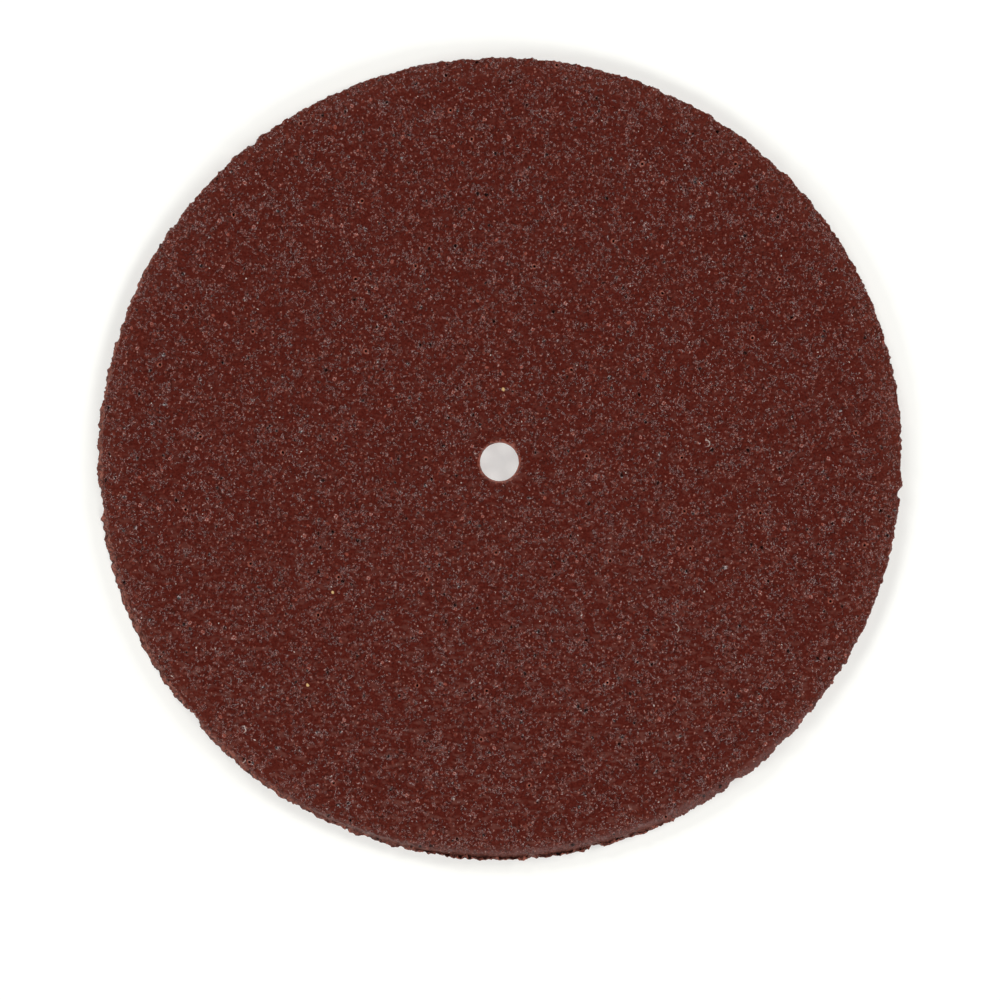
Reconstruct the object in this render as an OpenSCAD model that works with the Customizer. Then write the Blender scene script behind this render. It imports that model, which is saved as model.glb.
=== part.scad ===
// Cut-off wheel: a thin disc of abrasive grain in hard resin, with a plain arbor hole.
// It is blanked from a pressed sheet. On one side the punch rolled the upper edge over,
// on the other the sheet broke away at a slope, and the brittle rim has small chips.
// Millimetres. The disc lies flat, with the origin on the hole's axis at the lower face.

/* [Disc] */
// Diameter along the long way of the slightly oval disc
disc_d = 38.2; // [25:0.1:60]
// Thickness between the two faces
disc_t = 1.0; // [0.6:0.05:2]
// How much less the disc measures across its narrow way
out_of_round = 0.3; // [0.1:0.05:1]
// Direction of the long way, anticlockwise from +X
long_way = 28; // [0:1:180]

/* [Arbor hole] */
// Diameter of the hole for the mandrel's screw
bore_d = 1.8; // [1.2:0.1:6]
// Width and depth of the worn lip at the hole's upper edge
bore_lip = 0.06; // [0.02:0.02:0.3]
// Distance of the disc's middle from the hole's axis
runout = 0.14; // [0:0.02:0.5]
// Direction from the hole's axis to the disc's middle
runout_way = 90; // [0:5:355]

/* [Rolled edge] */
// Width of the rolled band at its widest
roll_w = 1.1; // [0.4:0.1:3]
// Drop of the upper edge there
roll_drop = 0.25; // [0.1:0.05:0.4]
// Direction of its widest place
roll_way = 282; // [0:1:359]
// Angle of the rim that is rolled over
roll_span = 130; // [60:5:220]

/* [Broken edge] */
// Width of the sloping break at its widest
break_w = 0.36; // [0.1:0.02:0.6]
// Direction of its widest place
break_way = 200; // [0:1:359]
// Angle of the rim that broke at a slope
break_span = 210; // [90:5:260]

/* [Chips] */
// Width of a large chip along the rim
large_chip_w = 1.7; // [0.8:0.1:3]
// Depth of a large chip
large_chip_depth = 0.2; // [0.08:0.02:0.4]
// Width of a middling chip along the rim
middle_chip_w = 0.75; // [0.5:0.05:1.2]
// Depth of a middling chip
middle_chip_depth = 0.16; // [0.06:0.02:0.3]
// Width of a small chip along the rim
small_chip_w = 0.5; // [0.3:0.05:0.8]
// Depth of a small chip
small_chip_depth = 0.1; // [0.04:0.02:0.2]

/* [Hidden] */
$fn = 180;

// The outline is two equal arcs that meet at the ends of the long way.
long_r = disc_d / 2;
narrow_r = (disc_d - out_of_round) / 2;
arc_r = (narrow_r + long_r * long_r / narrow_r) / 2;
arc_shift = arc_r - narrow_r;

// The roll and the break are eccentric, so that each fades out along the rim.
roll_shift = roll_w / (1 - cos(roll_span / 2));
roll_flat_r = long_r - roll_w + roll_shift;
roll_arc_r = (roll_w * roll_w + roll_drop * roll_drop) / (2 * roll_drop);
break_shift = break_w / (1 - cos(break_span / 2));
break_base_r = long_r + break_shift;

// Directions of the chips, anticlockwise from +X.
large_chip_ways = [186, 220];
middle_chip_ways = [284, 306];
small_chip_ways = [2, 66, 128, 139, 155, 162, 171, 355];

// Length by which a cutting shape runs past the faces it cuts.
over = 1;
disc_colour = "#572d27";

// Distance from the disc's middle to its oval outline in one direction.
function rim_r(way) =
    sqrt(pow(arc_r, 2) - pow(arc_shift * cos(way - long_way), 2))
    - arc_shift * abs(sin(way - long_way));

// Radius of the round cut that leaves a chip of this width and depth.
function chip_r(w, depth) = (w * w / 4 + depth * depth) / (2 * depth);

// The oval blank, taller than the disc: the rolled edge brings it to its thickness.
module blank() {
    rotate(long_way)
        intersection_for (side = [-1, 1])
            translate([0, side * arc_shift, 0])
                cylinder(r = arc_r, h = disc_t + over);
}

// Keeps what lies under the flat upper face and its rolled band.
module rolled_edge() {
    rotate(roll_way) translate([-roll_shift, 0, 0])
        rotate_extrude() {
            translate([0, -over]) square([roll_flat_r, disc_t + over]);
            intersection() {
                translate([roll_flat_r, disc_t - roll_arc_r]) circle(r = roll_arc_r);
                translate([roll_flat_r, -over]) square([roll_arc_r, disc_t + over]);
            }
        }
}

// Keeps what lies inside the slope, which is widest at the lower face.
module broken_edge() {
    slope = break_w / disc_t;
    rotate(break_way) translate([-break_shift, 0, -over])
        cylinder(
            r1 = break_base_r + slope * over,
            r2 = break_base_r - slope * (disc_t + over),
            h = disc_t + 2 * over
        );
}

// One chip: a round bite right through the rim.
module chip(way, w, depth) {
    r = chip_r(w, depth);
    rotate(way) translate([rim_r(way) + r - depth, 0, -over])
        cylinder(r = r, h = disc_t + 2 * over);
}

module chips() {
    for (way = large_chip_ways) chip(way, large_chip_w, large_chip_depth);
    for (way = middle_chip_ways) chip(way, middle_chip_w, middle_chip_depth);
    for (way = small_chip_ways) chip(way, small_chip_w, small_chip_depth);
}

// The arbor hole, with the worn lip at its upper edge.
module arbor_hole() {
    translate([0, 0, -over]) cylinder(d = bore_d, h = disc_t + 2 * over);
    translate([0, 0, disc_t - bore_lip])
        cylinder(d1 = bore_d, d2 = bore_d + 4 * bore_lip, h = 2 * bore_lip);
}

module abrasive_disc() {
    color(disc_colour)
        difference() {
            rotate(runout_way) translate([runout, 0, 0]) rotate(-runout_way)
                difference() {
                    intersection() {
                        blank();
                        rolled_edge();
                        broken_edge();
                    }
                    chips();
                }
            arbor_hole();
        }
}

abrasive_disc();
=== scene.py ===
import math

import bpy
import numpy as np
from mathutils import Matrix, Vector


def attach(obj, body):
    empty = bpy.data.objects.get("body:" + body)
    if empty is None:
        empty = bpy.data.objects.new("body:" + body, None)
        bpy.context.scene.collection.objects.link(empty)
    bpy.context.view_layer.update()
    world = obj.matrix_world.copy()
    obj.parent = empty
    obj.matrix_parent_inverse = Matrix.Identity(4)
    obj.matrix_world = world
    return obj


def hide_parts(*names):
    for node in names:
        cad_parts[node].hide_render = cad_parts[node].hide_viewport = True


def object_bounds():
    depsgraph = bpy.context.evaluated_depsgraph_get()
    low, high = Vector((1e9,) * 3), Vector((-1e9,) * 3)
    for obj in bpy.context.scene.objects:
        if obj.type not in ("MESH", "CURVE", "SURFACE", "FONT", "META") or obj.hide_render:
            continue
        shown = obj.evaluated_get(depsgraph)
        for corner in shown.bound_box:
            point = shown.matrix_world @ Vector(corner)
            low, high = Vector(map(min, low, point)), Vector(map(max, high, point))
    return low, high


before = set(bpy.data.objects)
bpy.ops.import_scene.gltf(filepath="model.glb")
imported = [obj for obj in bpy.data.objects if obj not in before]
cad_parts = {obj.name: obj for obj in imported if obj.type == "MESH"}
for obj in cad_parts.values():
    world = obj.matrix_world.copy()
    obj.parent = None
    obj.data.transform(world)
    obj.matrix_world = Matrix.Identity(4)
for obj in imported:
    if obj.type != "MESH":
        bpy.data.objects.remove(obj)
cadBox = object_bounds()
mm = 0.001  # metres in a millimetre
midGrey = (0.5, 0.5, 0.5)  # the mean colour of noise and of cells
levelled = (1, 1, 0)       # a place times this keeps no height
print("frame loaded, box in mm:", [round(x / mm, 2) for corner in cadBox for x in corner])


def linear(hexColour):
    # sRGB hex to the linear colour that a socket takes
    parts = [int(hexColour[i:i + 2], 16) / 255 for i in (1, 3, 5)]
    return tuple(c / 12.92 if c <= 0.04045 else ((c + 0.055) / 1.055) ** 2.4 for c in parts) + (1.0,)


def addNode(tree, kind, settings=None, links=None):
    # a text key is a property or a named input, a number is an input's place
    node = tree.nodes.new(kind)
    for key, value in (settings or {}).items():
        if isinstance(key, str) and hasattr(node, key):
            setattr(node, key, value)
        else:
            node.inputs[key].default_value = value
    for key, socket in (links or {}).items():
        tree.links.new(socket, node.inputs[key])
    return node


def makeActive(piece):
    bpy.ops.object.select_all(action="DESELECT")
    piece.select_set(True)
    bpy.context.view_layer.objects.active = piece


# The grit's pattern, in millimetres. The relief and the material both draw it,
# so a pit that is cut into the mesh is also painted dark as painted shade, and a grain that stands out is
# paler.
grit = {
    "stretch": (1.0, 0.97, 1.0),              # the grit lies a little along Y
    "turnAxis": (0.3, 0.2, 1.0), "turn": 37,  # degrees, so that no row of cells runs along the faces
    "warp": {"width": 0.22, "amount": 0.10},      # noise that bends the grains
    "crumple": {"width": 0.11, "amount": 0.10},   # noise that makes the pits ragged
    "patchWidth": 0.55,                       # smooth resin plates and the clusters of grit between them
    "patchLevels": (0.40, 0.64),              # noise levels of the plates and of the clusters
    "patchCover": (0.17, 0.70),               # share of the grains that show there
    "edgeBand": (17.4, 18.9),                 # radii of the band by the rim
    "edgeCover": 0.20,                        # what it adds to the noise
    "grainWidth": 0.105,                      # pitch of the grains
    "grainReach": 0.75,                       # share of it that a grain's crown reaches
    "grainRises": (0.3, 2.2),                 # how high the lowest and the highest grains stand
    "gapCrown": 0.5,                          # gaps lie where a crown is lower than this, and are painted with shade there
    "facetWidth": 0.08,                       # pitch of their broken facets
    "spotRandomness": 0.85,                   # how freely the spots below lie in their cells
    # spots of several kinds in cells this far apart, each kind in its own share of the cells
    "drops": {"spacing": 0.70, "kinds": {
        "dome": {"chance": (0.0, 0.38), "core": 0.0, "radius": 0.11},
        "stray": {"chance": (0.993, 1.0), "core": 0.06, "radius": 0.10},
        "hair": {"chance": (0.989, 0.993), "core": 0.01, "radius": 0.03, "bend": 0.22},
    }},
    "dropLean": 0.2,                          # a drop leans in full where its share is past this
    "dropClear": 0.1,                         # and hides the grains where its height is
    "hairStart": 0.05,                        # a hair is the part of its ring past this, to one side
    "hollows": {"spacing": 0.42, "kinds": {
        "pit": {"chance": (0.0, 0.6), "core": 0.03, "radius": 0.11},
        "rimPit": {"chance": (0.0, 1.0), "core": 0.06, "radius": 0.15},
    }},
    "dots": {"spacing": 0.24, "kinds": {
        "speck": {"chance": (0.04, 1.0), "core": 0.01, "radius": 0.055},
        "fleck": {"chance": (0.0, 0.04), "core": 0.01, "radius": 0.045},
    }},
    "holes": {"spacing": 4.6, "dimensions": "2D", "kinds": {   # they all open on the faces
        "pinhole": {"chance": (0.0, 1.0), "core": 0.035, "radius": 0.075},
        "ring": {"chance": (0.0, 1.0), "core": 0.09, "radius": 0.145},
    }},
}


def bent(tree, place, noise):
    # moves each point by noise, so that nothing drawn on it is quite round
    drift = addNode(tree, "ShaderNodeTexNoise", {"Scale": 1 / noise["width"], "Detail": 0},
                    {"Vector": place})
    centred = addNode(tree, "ShaderNodeVectorMath", {"operation": "SUBTRACT", 1: midGrey},
                      {0: drift.outputs["Color"]})
    return addNode(tree, "ShaderNodeVectorMath", {"operation": "MULTIPLY_ADD", 1: (noise["amount"],) * 3},
                   {0: centred.outputs[0], 2: place}).outputs[0]


def scatter(tree, place, spots):
    # round spots of each kind: 1 within the core, fading to 0 at the radius.
    # A kind with a bend is a ring of that radius instead
    spacing = spots["spacing"]
    cells = addNode(tree, "ShaderNodeTexVoronoi",
                    {"voronoi_dimensions": spots.get("dimensions", "3D"),
                     "Scale": 1 / spacing, "Randomness": grit["spotRandomness"]},
                    {"Vector": place})
    chance = addNode(tree, "ShaderNodeSeparateXYZ", {}, {0: cells.outputs["Color"]}).outputs[0]
    shares = {"middle": cells.outputs["Position"], "own": cells.outputs["Color"]}
    for name, kind in spots["kinds"].items():
        away = cells.outputs["Distance"]
        if "bend" in kind:
            away = addNode(tree, "ShaderNodeMath", {"operation": "SUBTRACT", 1: kind["bend"] / spacing},
                           {0: away})
            away = addNode(tree, "ShaderNodeMath", {"operation": "ABSOLUTE"},
                           {0: away.outputs[0]}).outputs[0]
        low, high = kind["chance"]
        kept = addNode(tree, "ShaderNodeMath",
                       {"operation": "COMPARE", 1: (low + high) / 2, 2: (high - low) / 2},
                       {0: chance})
        fade = addNode(tree, "ShaderNodeMapRange",
                       {"interpolation_type": "SMOOTHSTEP",
                        1: kind["core"] / spacing, 2: kind["radius"] / spacing, 3: 1, 4: 0}, {0: away})
        shares[name] = addNode(tree, "ShaderNodeMath", {"operation": "MULTIPLY"},
                               {0: kept.outputs[0], 1: fade.outputs[0]}).outputs[0]
    return shares


def leaningCells(tree, place, width):
    # each cell leans its own way, by up to half in each direction
    cells = addNode(tree, "ShaderNodeTexVoronoi", {"Scale": 1 / width}, {"Vector": place})
    lean = addNode(tree, "ShaderNodeVectorMath", {"operation": "SUBTRACT", 1: midGrey},
                   {0: cells.outputs["Color"]})
    return cells, lean.outputs[0]


def facetHeight(tree, place, width):
    # height in mm over the leaning cells, at a slope of 1
    cells, lean = leaningCells(tree, place, width)
    inCell = addNode(tree, "ShaderNodeVectorMath", {"operation": "SUBTRACT"},
                     {0: place, 1: cells.outputs["Position"]})
    return addNode(tree, "ShaderNodeVectorMath", {"operation": "DOT_PRODUCT"},
                   {0: inCell.outputs[0], 1: lean}).outputs["Value"]


def nearEdge(tree, place):
    # 0 over the middle of the disc, rising to 1 at its rim
    middle = [(cadBox[0][i] + cadBox[1][i]) / 2 / mm for i in range(2)]
    flat = addNode(tree, "ShaderNodeVectorMath", {"operation": "MULTIPLY", 1: levelled}, {0: place})
    away = addNode(tree, "ShaderNodeVectorMath", {"operation": "DISTANCE", 1: (*middle, 0)},
                   {0: flat.outputs[0]})
    inner, outer = grit["edgeBand"]
    return addNode(tree, "ShaderNodeMapRange", {1: inner, 2: outer},
                   {0: away.outputs["Value"]}).outputs[0]


def gritPattern(tree, place):
    edge = nearEdge(tree, place)
    turned = {"rotation_type": "AXIS_ANGLE",
              "Axis": grit["turnAxis"], "Angle": math.radians(grit["turn"])}
    place = addNode(tree, "ShaderNodeVectorMath", {"operation": "MULTIPLY", 1: grit["stretch"]},
                    {0: place})
    place = addNode(tree, "ShaderNodeVectorRotate", turned, {"Vector": place.outputs[0]}).outputs[0]
    warped = bent(tree, place, grit["warp"])
    crumpled = bent(tree, place, grit["crumple"])
    grains = addNode(tree, "ShaderNodeTexVoronoi", {"Scale": 1 / grit["grainWidth"]}, {"Vector": warped})
    # the patches are read at each grain's middle, so that a grain shows whole or not at all
    patches = addNode(tree, "ShaderNodeTexNoise",
                      {"Scale": 1 / grit["patchWidth"], "Detail": 1, "Roughness": 0.65},
                      {"Vector": grains.outputs["Position"]})
    plate, cluster = grit["patchLevels"]
    fewest, most = grit["patchCover"]
    crumbly = addNode(tree, "ShaderNodeMath", {"operation": "POWER", 1: 2}, {0: edge})
    patches = addNode(tree, "ShaderNodeMath", {"operation": "MULTIPLY_ADD", 1: grit["edgeCover"]},
                      {0: crumbly.outputs[0], 2: patches.outputs[0]})
    cover = addNode(tree, "ShaderNodeMapRange", {1: plate, 2: cluster, 3: fewest, 4: most},
                    {0: patches.outputs[0]}).outputs[0]
    luck = addNode(tree, "ShaderNodeSeparateXYZ", {}, {0: grains.outputs["Color"]})
    drawn = addNode(tree, "ShaderNodeMath", {"operation": "LESS_THAN"},
                    {0: luck.outputs[0], 1: cover}).outputs[0]

    # grains under a smooth skin of resin, round as drops, with no bare grain beside them
    drops = scatter(tree, warped, grit["drops"])
    dome = addNode(tree, "ShaderNodeMath", {"operation": "POWER", 1: 0.5}, {0: drops["dome"]}).outputs[0]
    # a ring at each drop's foot, which the material paints pink, partly as a painted highlight on the
    # drop's sloping side
    foot = addNode(tree, "ShaderNodeMath", {"operation": "SUBTRACT", 0: 1}, {1: drops["dome"]})
    foot = addNode(tree, "ShaderNodeMath", {"operation": "MULTIPLY"},
                   {0: foot.outputs[0], 1: drops["dome"]})
    away = addNode(tree, "ShaderNodeVectorMath", {"operation": "SUBTRACT"},
                   {0: warped, 1: drops["middle"]})
    covered = addNode(tree, "ShaderNodeMapRange", {2: grit["dropLean"]}, {0: drops["dome"]})
    domeSlope = addNode(tree, "ShaderNodeVectorMath", {"operation": "SCALE"},
                        {0: away.outputs[0], "Scale": covered.outputs[0]})
    domeSlope = addNode(tree, "ShaderNodeVectorRotate", {**turned, "invert": True},
                        {"Vector": domeSlope.outputs[0]})
    towards = addNode(tree, "ShaderNodeVectorMath", {"operation": "SUBTRACT", 1: midGrey},
                      {0: drops["own"]})
    along = addNode(tree, "ShaderNodeVectorMath", {"operation": "DOT_PRODUCT"},
                    {0: away.outputs[0], 1: towards.outputs[0]})
    side = addNode(tree, "ShaderNodeMath", {"operation": "GREATER_THAN", 1: grit["hairStart"]},
                   {0: along.outputs["Value"]})
    hair = addNode(tree, "ShaderNodeMath", {"operation": "MULTIPLY"},
                   {0: drops["hair"], 1: side.outputs[0]})
    clear = addNode(tree, "ShaderNodeMath", {"operation": "LESS_THAN", 1: grit["dropClear"]},
                    {0: dome}).outputs[0]
    shown = addNode(tree, "ShaderNodeMath", {"operation": "MULTIPLY"}, {0: drawn, 1: clear}).outputs[0]

    # a round crown: 1 at the grain's middle, falling with the square of the distance
    squared = addNode(tree, "ShaderNodeMath", {"operation": "POWER", 1: 2},
                      {0: grains.outputs["Distance"]})
    crown = addNode(tree, "ShaderNodeMapRange", {2: grit["grainReach"] ** 2, 3: 1, 4: 0},
                    {0: squared.outputs[0]}).outputs[0]
    # most grains stand low and a few stand high
    rise = addNode(tree, "ShaderNodeMath", {"operation": "POWER", 1: 2}, {0: luck.outputs[2]})
    rise = addNode(tree, "ShaderNodeMapRange", {3: grit["grainRises"][0], 4: grit["grainRises"][1]},
                   {0: rise.outputs[0]})
    risen = addNode(tree, "ShaderNodeMath", {"operation": "MULTIPLY"}, {0: crown, 1: rise.outputs[0]})
    risen = addNode(tree, "ShaderNodeMath", {"operation": "MULTIPLY"},
                    {0: risen.outputs[0], 1: drawn}).outputs[0]
    grain = addNode(tree, "ShaderNodeMath", {"operation": "MULTIPLY"}, {0: risen, 1: clear})

    # the gaps between the grains of a cluster, painted with shade in the material, and the pits there
    crowded = addNode(tree, "ShaderNodeMapRange", {1: fewest, 2: most}, {0: cover}).outputs[0]
    gapShade = addNode(tree, "ShaderNodeMapRange", {2: grit["gapCrown"], 3: 1, 4: 0}, {0: crown})
    gapShade = addNode(tree, "ShaderNodeMath", {"operation": "MULTIPLY"}, {0: gapShade.outputs[0], 1: crowded})
    hollows = scatter(tree, crumpled, grit["hollows"])
    pit = addNode(tree, "ShaderNodeMath", {"operation": "MULTIPLY"},
                  {0: hollows["pit"], 1: crowded}).outputs[0]
    # a painted highlight round the pits, where their edges catch the light: 0 in the middle and outside,
    # a quarter between
    pitHighlight = addNode(tree, "ShaderNodeMath", {"operation": "SUBTRACT", 0: 1}, {1: pit})
    pitHighlight = addNode(tree, "ShaderNodeMath", {"operation": "MULTIPLY"}, {0: pitHighlight.outputs[0], 1: pit})
    return {
        "warped": warped, "shown": shown, "tone": luck.outputs[1],
        "risen": risen, "clear": clear, "grain": grain.outputs[0], "gapShade": gapShade.outputs[0],
        "dome": dome, "domeFootTintAndHighlight": foot.outputs[0], "domeSlope": domeSlope.outputs[0],
        "stray": drops["stray"], "hair": hair.outputs[0],
        "edge": edge,
        "pit": pit, "pitHighlight": pitHighlight.outputs[0], "rimPit": hollows["rimPit"],
        **scatter(tree, crumpled, grit["dots"]), **scatter(tree, place, grit["holes"]),
    }


# The disc: a copy of the CAD solid, cut into fine even faces, then given the relief of grit in resin.
disc = {
    "node": "abrasive_disc",
    "slot": "bonded_grit",
    "weld": 0.0005,          # mm, points nearer than this are one
    "faceWidth": 0.075,      # mm between points before the mesh is thinned
    "triangles": 197000,     # after it
    "skin": 0.030,           # the relief leaves no point nearer to the solid's surface, but by the hole
    "plateDrop": 0.050,      # the resin plates lie this far under it
    "grainRise": 0.030,
    "facetSlope": 0.25,      # of the grains' facets, on the rim too
    "domeRise": 0.050,
    "pitDepth": 0.12,
    "ringRise": 0.020,
    "pinholeDepth": 0.20,
    "underside": 0.5,        # the lower face's relief against the upper's
    "turnover": (-0.5, 0.5),  # the normal's height, from the lower face's relief to the upper's
    # degrees: the middle of the rolled edge, and how far from it the edge ends and is full
    "shoulderWay": 280, "shoulderSpan": (70, 45),
    "shoulderLevels": (0.978, 0.9985),              # the normal's height on it and on the flat face
    "shoulderRelief": 0.80,                         # what is left of the relief on it
    "ledgeWay": 268, "ledgeSpan": (32, 18),         # the same of the ledge where its lip broke away
    "ledgeBand": (0.84, 0.94), "ledgeDrop": 0.35,   # share of the edge band, and mm
    "ledgeLevels": (0.1, 0.5), "ledgeNoise": 0.5,   # the normal's height there, and how torn it is
    "rimLevels": (0.55, 0.85),   # the normal's height on the rim and on the faces
    "rimInset": 0.090,       # the broken rim's mean depth under the solid's surface
    "rimFacetWidth": 0.35, "rimFacetSlope": 1.4,
    "biteWidth": 0.65, "bite": 0.125,       # ragged bites that run through the whole thickness
    "biteLevels": (0.35, 0.62),             # noise levels of a full bite and of none
    "biteReach": 0.4,                       # share of the edge band where they begin
    "rimPitDepth": 0.12,
    "boreRelief": 0.12, "boreSkin": 0.004,   # the hole is smoother than the rim and keeps its size
    "boreEnds": (1.5, 2.5),                  # mm from the axis where that fades out
    "smoothAngle": 35,       # degrees, sharper edges stay sharp
}


def stretchOfRim(tree, outward, way, span):
    # 1 round this direction, fading to 0 between the span's inner and outer angle
    way = math.radians(way)
    along = addNode(tree, "ShaderNodeVectorMath",
                    {"operation": "DOT_PRODUCT", 1: (math.cos(way), math.sin(way), 0)},
                    {0: outward})
    ends = [math.cos(math.radians(angle)) for angle in span]
    return addNode(tree, "ShaderNodeMapRange", {1: ends[0], 2: ends[1]},
                   {0: along.outputs["Value"]}).outputs[0]


def reliefTree():
    tree = bpy.data.node_groups.new("gritRelief", "GeometryNodeTree")
    tree.interface.new_socket("Geometry", in_out="INPUT", socket_type="NodeSocketGeometry")
    tree.interface.new_socket("Geometry", in_out="OUTPUT", socket_type="NodeSocketGeometry")
    entry = addNode(tree, "NodeGroupInput")
    place = addNode(tree, "GeometryNodeInputPosition").outputs[0]
    normal = addNode(tree, "GeometryNodeInputNormal").outputs[0]
    upward = addNode(tree, "ShaderNodeSeparateXYZ", {}, {0: normal}).outputs["Z"]
    pattern = gritPattern(tree, place)
    facet = facetHeight(tree, pattern["warped"], grit["grainWidth"])

    # heights on the flat faces, added up one after another
    slope = addNode(tree, "ShaderNodeMath", {"operation": "MULTIPLY", 1: disc["facetSlope"]},
                    {0: pattern["shown"]})
    height = addNode(tree, "ShaderNodeMath", {"operation": "MULTIPLY_ADD", 2: -disc["plateDrop"]},
                     {0: facet, 1: slope.outputs[0]}).outputs[0]
    for layer, amount in (
        ("grain", disc["grainRise"]), ("dome", disc["domeRise"]), ("ring", disc["ringRise"]),
        ("pit", -disc["pitDepth"]), ("pinhole", -disc["pinholeDepth"]),
    ):
        height = addNode(tree, "ShaderNodeMath", {"operation": "MULTIPLY_ADD", 1: amount},
                         {0: pattern[layer], 2: height}).outputs[0]
    share = addNode(tree, "ShaderNodeMapRange",
                    {1: disc["turnover"][0], 2: disc["turnover"][1], 3: disc["underside"], 4: 1},
                    {0: upward})
    faceHeight = addNode(tree, "ShaderNodeMath", {"operation": "MULTIPLY"},
                         {0: height, 1: share.outputs[0]}).outputs[0]

    # the rolled edge is pressed a little smoother
    level = addNode(tree, "ShaderNodeMath", {"operation": "ABSOLUTE"}, {0: upward}).outputs[0]
    flat = addNode(tree, "ShaderNodeVectorMath", {"operation": "MULTIPLY", 1: levelled},
                   {0: place}).outputs[0]
    outward = addNode(tree, "ShaderNodeVectorMath", {"operation": "NORMALIZE"}, {0: flat}).outputs[0]
    rolled = stretchOfRim(tree, outward, disc["shoulderWay"], disc["shoulderSpan"])
    sloping, even = disc["shoulderLevels"]
    shoulder = addNode(tree, "ShaderNodeMapRange", {1: sloping, 2: even, 3: 1, 4: 0}, {0: level})
    shoulder = addNode(tree, "ShaderNodeMath", {"operation": "MULTIPLY"},
                       {0: shoulder.outputs[0], 1: rolled}).outputs[0]
    pressed = addNode(tree, "ShaderNodeMapRange", {3: 1, 4: disc["shoulderRelief"]}, {0: shoulder})
    faceHeight = addNode(tree, "ShaderNodeMath", {"operation": "MULTIPLY"},
                         {0: faceHeight, 1: pressed.outputs[0]}).outputs[0]

    # heights on the broken rim
    broken = facetHeight(tree, place, disc["rimFacetWidth"])
    rimHeight = addNode(tree, "ShaderNodeMath",
                        {"operation": "MULTIPLY_ADD", 1: disc["rimFacetSlope"], 2: -disc["rimInset"]},
                        {0: broken}).outputs[0]
    for layer, amount in ((facet, disc["facetSlope"]), (pattern["rimPit"], -disc["rimPitDepth"])):
        rimHeight = addNode(tree, "ShaderNodeMath", {"operation": "MULTIPLY_ADD", 1: amount},
                            {0: layer, 2: rimHeight}).outputs[0]

    fromAxis = addNode(tree, "ShaderNodeVectorMath", {"operation": "LENGTH"}, {0: flat})
    near, far = disc["boreEnds"]
    drilled = addNode(tree, "ShaderNodeMapRange", {1: near, 2: far, 3: disc["boreRelief"], 4: 1},
                      {0: fromAxis.outputs["Value"]})
    skin = addNode(tree, "ShaderNodeMapRange", {1: near, 2: far, 3: -disc["boreSkin"], 4: -disc["skin"]},
                   {0: fromAxis.outputs["Value"]})
    rimHeight = addNode(tree, "ShaderNodeMath", {"operation": "MULTIPLY"},
                        {0: rimHeight, 1: drilled.outputs[0]}).outputs[0]

    steep, even = disc["rimLevels"]
    rim = addNode(tree, "ShaderNodeMapRange", {1: steep, 2: even, 3: 1, 4: 0}, {0: level}).outputs[0]
    both = addNode(tree, "ShaderNodeMix", {}, {0: rim, 2: faceHeight, 3: rimHeight}).outputs[0]
    inwards = addNode(tree, "ShaderNodeMath", {"operation": "MINIMUM"},
                      {0: both, 1: skin.outputs[0]}).outputs[0]
    offset = addNode(tree, "ShaderNodeVectorMath", {"operation": "SCALE"}, {0: normal, "Scale": inwards})

    # the bites push the rim straight in, and what lies behind it less and less
    wave = addNode(tree, "ShaderNodeTexNoise",
                   {"Scale": 1 / disc["biteWidth"], "Detail": 3, "Roughness": 0.72}, {"Vector": flat})
    full, none = disc["biteLevels"]
    bite = addNode(tree, "ShaderNodeMapRange", {1: full, 2: none, 3: -disc["bite"], 4: 0},
                   {0: wave.outputs[0]})
    behind = addNode(tree, "ShaderNodeMapRange",
                     {"interpolation_type": "SMOOTHSTEP", 1: disc["biteReach"]}, {0: pattern["edge"]})
    bite = addNode(tree, "ShaderNodeMath", {"operation": "MULTIPLY"},
                   {0: bite.outputs[0], 1: behind.outputs[0]})
    offset = addNode(tree, "ShaderNodeVectorMath", {"operation": "MULTIPLY_ADD"},
                     {0: outward, 1: bite.outputs[0], 2: offset.outputs[0]})

    # the ledge: the lip of the rolled edge is gone, and the break under it shows
    torn = addNode(tree, "ShaderNodeMath",
                   {"operation": "MULTIPLY_ADD", 1: disc["ledgeNoise"], 2: -disc["ledgeNoise"] / 2},
                   {0: wave.outputs[0]})
    torn = addNode(tree, "ShaderNodeMath", {"operation": "ADD"}, {0: torn.outputs[0], 1: pattern["edge"]})
    inner, outer = disc["ledgeBand"]
    ledge = addNode(tree, "ShaderNodeMapRange", {1: inner, 2: outer}, {0: torn.outputs[0]})
    lipless = stretchOfRim(tree, outward, disc["ledgeWay"], disc["ledgeSpan"])
    ledge = addNode(tree, "ShaderNodeMath", {"operation": "MULTIPLY"}, {0: ledge.outputs[0], 1: lipless})
    upright, lying = disc["ledgeLevels"]
    above = addNode(tree, "ShaderNodeMapRange", {1: upright, 2: lying}, {0: upward})
    ledge = addNode(tree, "ShaderNodeMath", {"operation": "MULTIPLY"},
                    {0: ledge.outputs[0], 1: above.outputs[0]}).outputs[0]
    drop = addNode(tree, "ShaderNodeVectorMath", {"operation": "SCALE", 0: (0, 0, -disc["ledgeDrop"])},
                   {"Scale": ledge})
    offset = addNode(tree, "ShaderNodeVectorMath", {"operation": "ADD"},
                     {0: offset.outputs[0], 1: drop.outputs[0]})

    # a deep break in the sloping rim stays above the lower face
    landed = addNode(tree, "ShaderNodeVectorMath", {"operation": "ADD"}, {0: place, 1: offset.outputs[0]})
    lowest = [x / mm + disc["boreSkin"] for x in cadBox[0]]
    landed = addNode(tree, "ShaderNodeVectorMath", {"operation": "MAXIMUM", 1: lowest},
                     {0: landed.outputs[0]})

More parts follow.
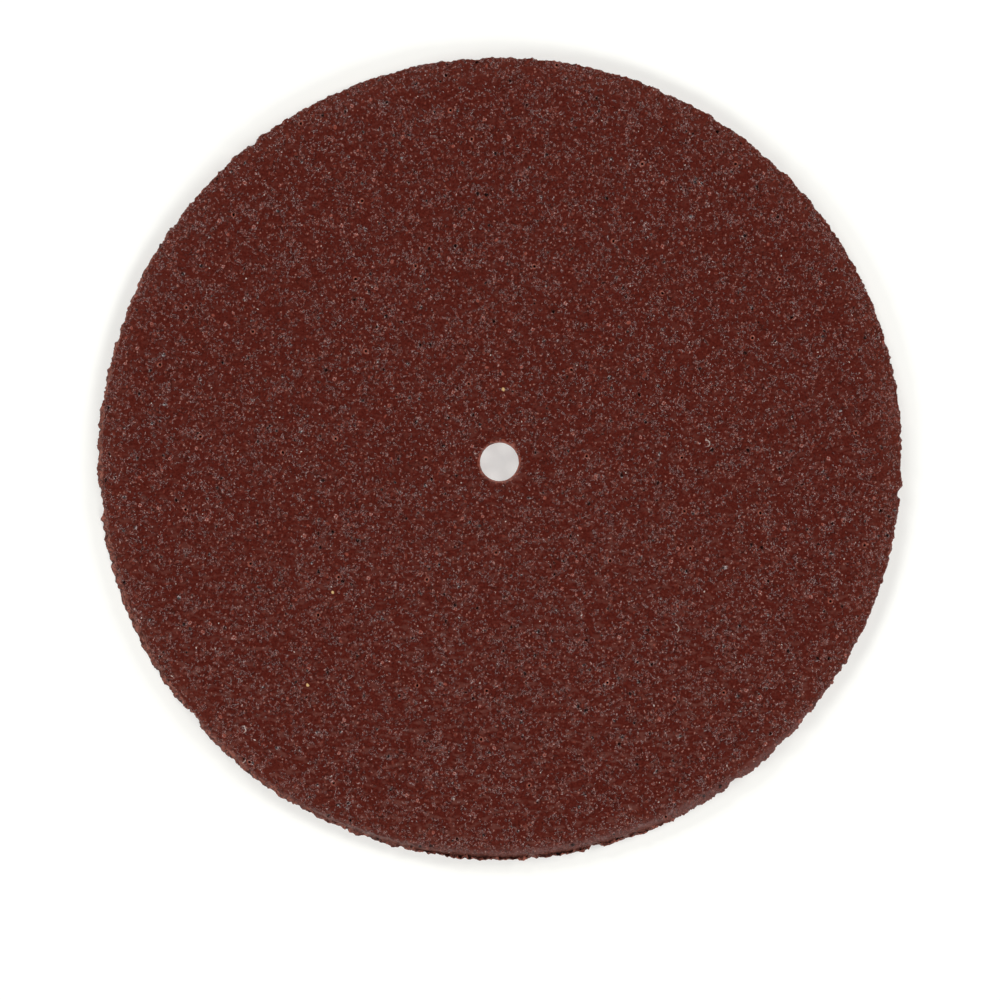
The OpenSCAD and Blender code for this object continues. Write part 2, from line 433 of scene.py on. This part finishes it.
    # the place before the relief and the shares of rim, shoulder and ledge
    # stay on the mesh for the material
    shape = entry.outputs[0]
    for name, kind, value in (
        ("restPlace", "FLOAT_VECTOR", place), ("rimShare", "FLOAT", rim),
        ("shoulderShare", "FLOAT", shoulder), ("ledgeShare", "FLOAT", ledge),
    ):
        shape = addNode(tree, "GeometryNodeStoreNamedAttribute",
                        {"data_type": kind, "domain": "POINT", "Name": name},
                        {"Geometry": shape, "Value": value}).outputs[0]
    moved = addNode(tree, "GeometryNodeSetPosition", {},
                    {"Geometry": shape, "Position": landed.outputs[0]})
    addNode(tree, "NodeGroupOutput", {}, {0: moved.outputs[0]})
    return tree


def buildDisc():
    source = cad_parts[disc["node"]]
    piece = bpy.data.objects.new("grit_disc", source.data.copy())
    bpy.context.scene.collection.objects.link(piece)
    makeActive(piece)
    piece.scale = (1 / mm,) * 3  # worked on in millimetres
    bpy.ops.object.transform_apply(location=False, rotation=False, scale=True)
    bpy.ops.object.mode_set(mode="EDIT")
    bpy.ops.mesh.select_all(action="SELECT")
    bpy.ops.mesh.remove_doubles(threshold=disc["weld"])
    bpy.ops.object.mode_set(mode="OBJECT")

    bpy.ops.object.modifier_add(type="REMESH")
    remesh = piece.modifiers[-1]
    remesh.mode = "VOXEL"
    remesh.voxel_size = disc["faceWidth"]
    bpy.ops.object.modifier_apply(modifier=remesh.name)
    print("even mesh:", len(piece.data.polygons), "faces")

    bpy.ops.object.modifier_add(type="NODES")
    relief = piece.modifiers[-1]
    relief.node_group = reliefTree()
    bpy.ops.object.modifier_apply(modifier=relief.name)

    bpy.ops.object.modifier_add(type="DECIMATE")
    thin = piece.modifiers[-1]
    thin.ratio = disc["triangles"] / (2 * len(piece.data.polygons))
    bpy.ops.object.modifier_apply(modifier=thin.name)
    piece.scale = (mm,) * 3
    bpy.ops.object.transform_apply(location=False, rotation=False, scale=True)
    print("thinned mesh:", len(piece.data.polygons), "faces")
    return piece


# Map for baked pictures: the upper face with the rim unrolled round it and the hole's wall inside it,
# and the lower face beside it. Radii and middles are shares of the map's side.
bakeMap = {
    "name": "OFBake",
    "upperRadius": 0.375, "upperMiddle": 0.385,
    "lowerRadius": 0.198, "lowerMiddle": 0.795,
    "boreReach": 1.5, "boreShrink": 0.8,   # mm round the axis, and how the hole's wall is shortened
    "floorLevel": 0.04,                    # mm, the lower face lies under this
}


def layBakeMap(piece):
    mesh = piece.data
    corner = np.empty(len(mesh.loops), np.int32)
    mesh.loops.foreach_get("vertex_index", corner)
    rest = np.empty(3 * len(mesh.vertices), np.float32)
    mesh.attributes["restPlace"].data.foreach_get("vector", rest)
    place = rest.reshape(-1, 3)[corner]
    top = rest[2::3].max()

    sides = np.empty(len(mesh.polygons), np.int32)
    mesh.polygons.foreach_get("loop_total", sides)
    starts = np.concatenate(([0], np.cumsum(sides)[:-1]))
    highest = np.repeat(np.maximum.reduceat(place[:, 2], starts), sides)
    lower = highest < bakeMap["floorLevel"]

    radius = np.hypot(place[:, 0], place[:, 1])
    depth = top - place[:, 2]
    inBore = radius < bakeMap["boreReach"]
    unrolled = np.where(inBore, radius - bakeMap["boreShrink"] * depth, radius + depth)
    unrolled = np.where(lower, radius, unrolled)
    share = np.where(lower, bakeMap["lowerRadius"] / radius.max(),
                     bakeMap["upperRadius"] / unrolled.max())
    middle = np.where(lower, bakeMap["lowerMiddle"], bakeMap["upperMiddle"])
    spread = (unrolled * share / radius)[:, None]
    flat = middle[:, None] + spread * place[:, :2]
    mesh.uv_layers.new(name=bakeMap["name"]).data.foreach_set("uv", flat.astype(np.float32).ravel())


gritDisc = buildDisc()
layBakeMap(gritDisc)
print("bake map laid")


# Alumina grain in phenolic resin, pressed against a flat plate. The resin skins over as dark oxblood
# plates with a soft gloss. The bare grain between them is paler and pinker, and its facets catch
# the light.
bonded = {
    "resin": "#541e16", "deepResin": "#3f110a",
    "mottleWidth": 0.11, "mottleLevels": (0.3, 0.72),
    "paintedSheen": "#6b443c", "hazeWidth": (0.5, 0.24),          # mm along and across the smears of painted sheen
    "hazeLevels": (0.52, 0.68),                           # noise levels where they begin and are full
    "hazeEnds": (-14, 6), "hazeShares": (0.40, 0.12),     # mm along Y, the painted sheen thicker by the rolled edge at the front
    "grain": "#652d23", "darkTones": 0.35,   # grains with a tone under this are as dark as the resin
    # the drops' colour, painted as a ring at their foot: partly a paler skin, partly a painted highlight
    # on the sloping side
    "dome": "#8c4a3d",
    # painted shade in the gaps between the grains of a cluster
    "gapShade": "#2a0e09",
    "speck": "#8e6055",
    "fleck": "#c4b2a8",      # specks of dust
    "stray": "#c2a070",      # a few grains of another colour
    # the rolled edge is painted a greyer brown, a painted sheen where it tilts toward the front light
    "shoulder": "#58281f",
    "raw": "#9f5b4a", "deepRaw": "#4f2018",
    "ring": "#844a3e",
    "paintedShade": "#260b07", "pitCore": (0.2, 0.45),   # painted shade in pits, pinholes, rim pits and the ledge; shares of a pit between which it turns dark
    "ior": 1.46,
    "plateRoughness": 0.20,
    "grainRoughness": 0.18,
    "shoulderRoughness": 0.5,
    "rawRoughness": 0.7,
    "grainLean": 0.3,        # how far the facets of the grains lean
    "domeLean": 5.0,         # the same of the drops, for each mm from their middle
    "grainHeight": 0.031,    # mm, the relief that is finer than the mesh
    "boreRing": (1.06, 1.10),   # mm from the axis, where the bruised ring round the hole fades out
    "boreRagged": 0.22,         # how much nearer it does so on some grains
}


def bondedGrit():
    material = bpy.data.materials.new("phenolic_bonded_alumina")
    material.use_nodes = True
    tree = material.node_tree
    tree.nodes.clear()
    place = addNode(tree, "ShaderNodeAttribute", {"attribute_name": "restPlace"}).outputs["Vector"]
    ledge = addNode(tree, "ShaderNodeAttribute", {"attribute_name": "ledgeShare"}).outputs["Fac"]
    rim = addNode(tree, "ShaderNodeAttribute", {"attribute_name": "rimShare"}).outputs["Fac"]
    rim = addNode(tree, "ShaderNodeMath", {"operation": "MAXIMUM"}, {0: rim, 1: ledge}).outputs[0]
    shoulder = addNode(tree, "ShaderNodeAttribute", {"attribute_name": "shoulderShare"}).outputs["Fac"]
    normal = addNode(tree, "ShaderNodeNewGeometry").outputs["Normal"]
    pattern = gritPattern(tree, place)
    bare = addNode(tree, "ShaderNodeMath", {"operation": "MAXIMUM"},
                   {0: pattern["shown"], 1: rim}).outputs[0]
    tone = addNode(tree, "ShaderNodeMapRange", {1: bonded["darkTones"]}, {0: pattern["tone"]}).outputs[0]
    tint = addNode(tree, "ShaderNodeMath", {"operation": "MULTIPLY"},
                   {0: pattern["shown"], 1: tone}).outputs[0]

    # how near to the hole, grain by grain
    flat = addNode(tree, "ShaderNodeVectorMath", {"operation": "MULTIPLY", 1: levelled},
                   {0: place}).outputs[0]
    fromAxis = addNode(tree, "ShaderNodeVectorMath", {"operation": "LENGTH"}, {0: flat}).outputs["Value"]
    ragged = addNode(tree, "ShaderNodeMath", {"operation": "MULTIPLY_ADD", 1: bonded["boreRagged"]},
                     {0: pattern["tone"], 2: fromAxis})
    inner, outer = bonded["boreRing"]
    bore = addNode(tree, "ShaderNodeMapRange", {1: inner, 2: outer, 3: 1, 4: 0},
                   {0: ragged.outputs[0]}).outputs[0]

    mottle = addNode(tree, "ShaderNodeTexNoise",
                     {"Scale": 1 / bonded["mottleWidth"], "Detail": 1, "Roughness": 0.7},
                     {"Vector": place})
    low, high = bonded["mottleLevels"]
    mottle = addNode(tree, "ShaderNodeMapRange", {1: low, 2: high}, {0: mottle.outputs[0]})
    colour = addNode(tree, "ShaderNodeMix",
                     {"data_type": "RGBA", 6: linear(bonded["deepResin"]), 7: linear(bonded["resin"])},
                     {0: mottle.outputs[0]}).outputs[2]
    # smears of painted sheen: a greyish veil of reflected light, stronger toward the front
    stretched = addNode(tree, "ShaderNodeVectorMath",
                        {"operation": "DIVIDE", 1: (*bonded["hazeWidth"], bonded["hazeWidth"][1])},
                        {0: place})
    paintedSheen = addNode(tree, "ShaderNodeTexNoise", {"Scale": 1, "Detail": 1, "Roughness": 0.6},
                   {"Vector": stretched.outputs[0]})
    low, high = bonded["hazeLevels"]
    paintedSheen = addNode(tree, "ShaderNodeMapRange", {1: low, 2: high}, {0: paintedSheen.outputs[0]})
    fromFront = addNode(tree, "ShaderNodeSeparateXYZ", {}, {0: place}).outputs["Y"]
    front, back = bonded["hazeEnds"]
    more, less = bonded["hazeShares"]
    fading = addNode(tree, "ShaderNodeMapRange", {1: front, 2: back, 3: more, 4: less}, {0: fromFront})
    paintedSheen = addNode(tree, "ShaderNodeMath", {"operation": "MULTIPLY"},
                   {0: paintedSheen.outputs[0], 1: fading.outputs[0]}).outputs[0]
    broken = addNode(tree, "ShaderNodeMath", {"operation": "MULTIPLY"},
                     {0: pattern["tone"], 1: rim}).outputs[0]
    rimPit = addNode(tree, "ShaderNodeMath", {"operation": "MULTIPLY"},
                     {0: pattern["rimPit"], 1: rim}).outputs[0]
    low, high = bonded["pitCore"]
    core = addNode(tree, "ShaderNodeMapRange", {1: low, 2: high}, {0: pattern["pit"]}).outputs[0]
    # Painted light among these layers: painted sheen in the smears and on the rolled edge, painted shade
    # in the gaps, pits, pinholes, rim pits and ledge, and painted highlights round the pits and at the
    # drops' feet.
    for share, strength, name in (
        (tint, 1.0, "grain"),
        (paintedSheen, 1.0, "paintedSheen"),
        (shoulder, 0.55, "shoulder"),
        (pattern["gapShade"], 0.7, "gapShade"),
        (pattern["speck"], 1.0, "speck"),
        (pattern["fleck"], 1.0, "fleck"),
        (pattern["stray"], 1.0, "stray"),
        (pattern["domeFootTintAndHighlight"], 3.0, "dome"),
        (pattern["ring"], 1.0, "ring"),
        (pattern["edge"], 0.05, "raw"),
        (rim, 1.0, "deepRaw"),
        (broken, 1.0, "raw"),
        (bore, 0.4, "raw"),
        (rimPit, 0.9, "paintedShade"),
        (ledge, 0.55, "paintedShade"),
        (pattern["pitHighlight"], 1.2, "speck"),
        (core, 1.0, "paintedShade"),
        (pattern["pinhole"], 1.0, "paintedShade"),
        (pattern["hair"], 0.5, "fleck"),
    ):
        share = addNode(tree, "ShaderNodeMath", {"operation": "MULTIPLY", 1: strength},
                        {0: share}).outputs[0]
        colour = addNode(tree, "ShaderNodeMix", {"data_type": "RGBA", 7: linear(bonded[name])},
                         {0: share, 6: colour}).outputs[2]
    rough = addNode(tree, "ShaderNodeMapRange",
                    {3: bonded["plateRoughness"], 4: bonded["grainRoughness"]},
                    {0: bare}).outputs[0]
    for share, name in ((shoulder, "shoulderRoughness"), (rim, "rawRoughness")):
        rough = addNode(tree, "ShaderNodeMix", {3: bonded[name]}, {0: share, 2: rough}).outputs[0]

    # relief finer than the mesh, weaker on the rolled edge and none on the drops
    pressed = addNode(tree, "ShaderNodeMapRange", {3: 1, 4: disc["shoulderRelief"]},
                      {0: shoulder}).outputs[0]
    strength = addNode(tree, "ShaderNodeMath", {"operation": "MULTIPLY"},
                       {0: pressed, 1: pattern["clear"]})
    lean = leaningCells(tree, pattern["warped"], grit["facetWidth"])[1]
    amount = addNode(tree, "ShaderNodeMath", {"operation": "MULTIPLY", 1: bonded["grainLean"]},
                     {0: bare}).outputs[0]
    amount = addNode(tree, "ShaderNodeMath", {"operation": "MULTIPLY"},
                     {0: amount, 1: pressed}).outputs[0]
    lean = addNode(tree, "ShaderNodeVectorMath", {"operation": "MULTIPLY_ADD"},
                   {0: lean, 1: amount, 2: normal})
    lean = addNode(tree, "ShaderNodeVectorMath",
                   {"operation": "MULTIPLY_ADD", 1: (bonded["domeLean"],) * 3},
                   {0: pattern["domeSlope"], 2: lean.outputs[0]})
    facing = addNode(tree, "ShaderNodeVectorMath", {"operation": "NORMALIZE"},
                     {0: lean.outputs[0]}).outputs[0]
    facing = addNode(tree, "ShaderNodeBump", {"Distance": bonded["grainHeight"] * mm},
                     {"Height": pattern["risen"], "Strength": strength.outputs[0],
                      "Normal": facing}).outputs[0]
    shader = addNode(tree, "ShaderNodeBsdfPrincipled", {"IOR": bonded["ior"]},
                     {"Base Color": colour, "Roughness": rough, "Normal": facing})
    addNode(tree, "ShaderNodeOutputMaterial", {}, {0: shader.outputs[0]})
    return material


gritDisc.data.materials.clear()
gritDisc.data.materials.append(bondedGrit())
makeActive(gritDisc)
bpy.ops.object.shade_smooth_by_angle(angle=math.radians(disc["smoothAngle"]))
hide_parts(disc["node"])
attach(gritDisc, "root")
print("disc dressed")


# Floor, light and camera.
studio = {
    "floorWidth": 6.0, "floorDrop": 0.02 * mm,   # it lies just under the lower face
    "floorColour": "#c8c8c2",
    "floorLift": 0.41,       # what the camera and the gloss see on top of the light on the paper
    # heights on a unit sphere where the tent's glow rises and falls
    "tentFoot": (0.45, 0.60), "tentTop": (0.60, 0.78),
    "tentLevel": 0.9, "footLevel": 0.15, "topLevel": 0.04,
    "boxes": [
        {"name": "front_box", "azimuth": 292, "elevation": 42, "power": 0.98},
        {"name": "back_box", "azimuth": 112, "elevation": 42, "power": 0.98},
        {"name": "left_box", "azimuth": 202, "elevation": 42, "power": 0.88},
        {"name": "right_box", "azimuth": 22, "elevation": 42, "power": 1.0},
    ],
    "boxDistance": 0.5, "boxSize": 0.18,
}


def buildFloor():
    bpy.ops.object.select_all(action="DESELECT")
    bpy.ops.mesh.primitive_plane_add(size=studio["floorWidth"], location=(0, 0, -studio["floorDrop"]))
    floor = bpy.context.object
    floor.name = "floor"
    material = bpy.data.materials.new("white_paper")
    material.use_nodes = True
    tree = material.node_tree
    tree.nodes.clear()
    path = addNode(tree, "ShaderNodeLightPath")
    seen = addNode(tree, "ShaderNodeMath", {"operation": "MAXIMUM"},
                   {0: path.outputs["Is Camera Ray"], 1: path.outputs["Is Glossy Ray"]})
    seen = addNode(tree, "ShaderNodeMath", {"operation": "MAXIMUM"},
                   {0: seen.outputs[0], 1: path.outputs["Is Transmission Ray"]})
    paper = addNode(tree, "ShaderNodeBsdfDiffuse", {"Color": linear(studio["floorColour"])})
    lift = addNode(tree, "ShaderNodeMath", {"operation": "MULTIPLY", 1: studio["floorLift"]},
                   {0: seen.outputs[0]})
    glow = addNode(tree, "ShaderNodeEmission", {}, {"Strength": lift.outputs[0]})
    white = addNode(tree, "ShaderNodeAddShader", {}, {0: paper.outputs[0], 1: glow.outputs[0]})
    addNode(tree, "ShaderNodeOutputMaterial", {}, {0: white.outputs[0]})
    floor.data.materials.append(material)


def buildLight():
    # a light tent: a bright band all round, dark above where the camera looks in
    world = bpy.data.worlds.new("tent")
    bpy.context.scene.world = world
    world.use_nodes = True
    tree = world.node_tree
    tree.nodes.clear()
    way = addNode(tree, "ShaderNodeTexCoord").outputs["Generated"]
    up = addNode(tree, "ShaderNodeSeparateXYZ", {}, {0: way}).outputs["Z"]
    low, high = studio["tentFoot"]
    foot = addNode(tree, "ShaderNodeMapRange",
                   {"interpolation_type": "SMOOTHSTEP", 1: low, 2: high,
                    3: studio["footLevel"], 4: studio["tentLevel"]}, {0: up})
    low, high = studio["tentTop"]
    roof = addNode(tree, "ShaderNodeMapRange",
                   {"interpolation_type": "SMOOTHSTEP", 1: low, 2: high,
                    3: studio["tentLevel"], 4: studio["topLevel"]}, {0: up})
    level = addNode(tree, "ShaderNodeMath", {"operation": "MINIMUM"},
                    {0: foot.outputs[0], 1: roof.outputs[0]})
    tent = addNode(tree, "ShaderNodeBackground", {}, {"Strength": level.outputs[0]})
    addNode(tree, "ShaderNodeOutputWorld", {}, {0: tent.outputs[0]})
    for box in studio["boxes"]:
        azimuth, elevation = math.radians(box["azimuth"]), math.radians(box["elevation"])
        flat = studio["boxDistance"] * math.cos(elevation)
        at = (flat * math.cos(azimuth), flat * math.sin(azimuth),
              studio["boxDistance"] * math.sin(elevation))
        bpy.ops.object.light_add(type="AREA", location=at,
                                 rotation=(math.pi / 2 - elevation, 0, azimuth + math.pi / 2))
        lamp = bpy.context.object
        lamp.name = box["name"]
        lamp.data.size = studio["boxSize"]
        lamp.data.energy = box["power"]


# Camera straight above. The disc's middle is placed in the frame as in the photo.
camera = {
    "frameWidth": 46.97 * mm,        # width of the view at the disc
    "distance": 300 * mm,
    "sensor": 36.0,
    "discMiddle": (499.4, 458.9),    # pixels in a frame of 1000 by 1000
    "frameMiddle": (500.0, 500.0),
    "framePixels": 1000,
    "clip": (0.01, 10),              # metres
}


def buildCamera():
    pixel = camera["frameWidth"] / camera["framePixels"]
    low, high = cadBox
    middle = [(low[i] + high[i]) / 2 for i in range(2)]
    x = middle[0] + (camera["frameMiddle"][0] - camera["discMiddle"][0]) * pixel
    y = middle[1] - (camera["frameMiddle"][1] - camera["discMiddle"][1]) * pixel
    bpy.ops.object.camera_add(location=(x, y, high[2] + camera["distance"]), rotation=(0, 0, 0))
    lens = bpy.context.object
    lens.name = "camera"
    lens.data.sensor_width = camera["sensor"]
    lens.data.lens = camera["sensor"] * camera["distance"] / camera["frameWidth"]
    lens.data.clip_start, lens.data.clip_end = camera["clip"]
    bpy.context.scene.camera = lens


buildFloor()
buildLight()
buildCamera()
bpy.context.scene.view_settings.view_transform = "Standard"
print("studio ready")
